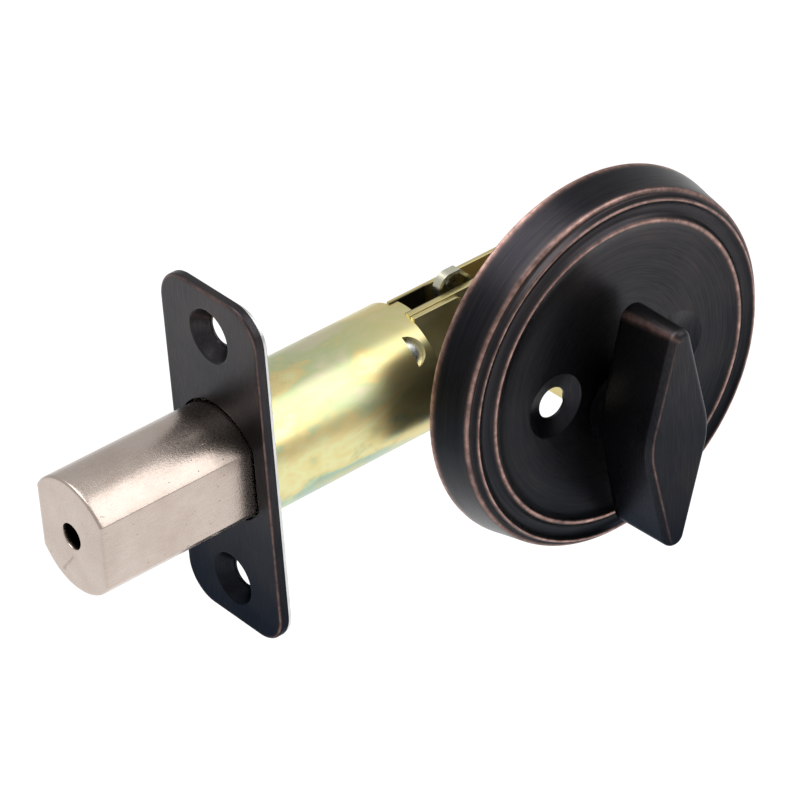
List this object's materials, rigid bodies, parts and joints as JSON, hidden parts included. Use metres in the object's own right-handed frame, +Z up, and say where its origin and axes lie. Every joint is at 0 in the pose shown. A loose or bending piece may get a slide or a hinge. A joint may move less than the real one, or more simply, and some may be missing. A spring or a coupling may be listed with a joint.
{
  "type": "deadbolt lock",
  "caption": "Tubular deadbolt latch with a round-ended faceplate, worked by a tall thumb turn on a round dished inside rosette.",
  "frame": {"origin": "centre of the rosette's back rim, on the plane of the door's inside face and on the centre line of the cross bore", "axes": "+Z up, -X the way the bolt is thrown, -Y away from the door towards the user, +Y into the door"},
  "size_m": [0.1118, 0.0474, 0.0596],
  "materials": {
    "oiled_bronze": "brushed dark bronze, copper on the worn edges",
    "satin_nickel": "satin nickel plate",
    "yellow_zinc": "yellow chromated zinc plate, faintly iridescent",
    "clear_zinc": "clear zinc plate",
    "hardened_steel": "plain ground steel",
    "spring_steel": "tempered spring steel",
    "nylon": "natural nylon"
  },
  "bodies": {
    "door_side": {"faceplate": "oiled_bronze", "backing_plate": "clear_zinc", "barrel": "yellow_zinc", "barrel_collar": "clear_zinc", "far_plate": "yellow_zinc", "near_plate": "yellow_zinc", "slide_plate": "yellow_zinc", "spacer_rivets": "hardened_steel", "detent_spring": "spring_steel", "rosette": "oiled_bronze", "turn_bushing": "nylon", "wave_washer": "spring_steel"},
    "bolt": {"bolt": "satin_nickel", "bolt_roller": "hardened_steel", "bolt_tail": "yellow_zinc", "tail_rivet": "hardened_steel", "drive_pin": "hardened_steel"},
    "crank": {"crank": "yellow_zinc"},
    "thumb_turn": {"thumb_turn": "oiled_bronze", "tailpiece": "yellow_zinc", "tailpiece_pin": "hardened_steel", "retaining_clip": "spring_steel"}
  },
  "joints": [
    {"name": "turn_spin", "type": "hinge", "parent": "door_side", "child": "thumb_turn", "pos_m": [0, -0.015, -0.006], "axis": [0, 1, 0], "range_deg": [0, 79]},
    {"name": "crank_spin", "type": "hinge", "parent": "door_side", "child": "crank", "pos_m": [0, 0.016, -0.006], "axis": [0, 1, 0], "range_deg": [0, 79]},
    {"name": "bolt_slide", "type": "slide", "parent": "door_side", "child": "bolt", "axis": [1, 0, 0], "range_m": [0, 0.0254]}
  ],
  "couplings": [
    {"joint": "crank_spin", "follows": "turn_spin", "ratio": 1},
    {"joint": "bolt_slide", "follows": "turn_spin", "m_per_rad": 0.01842}
  ]
}
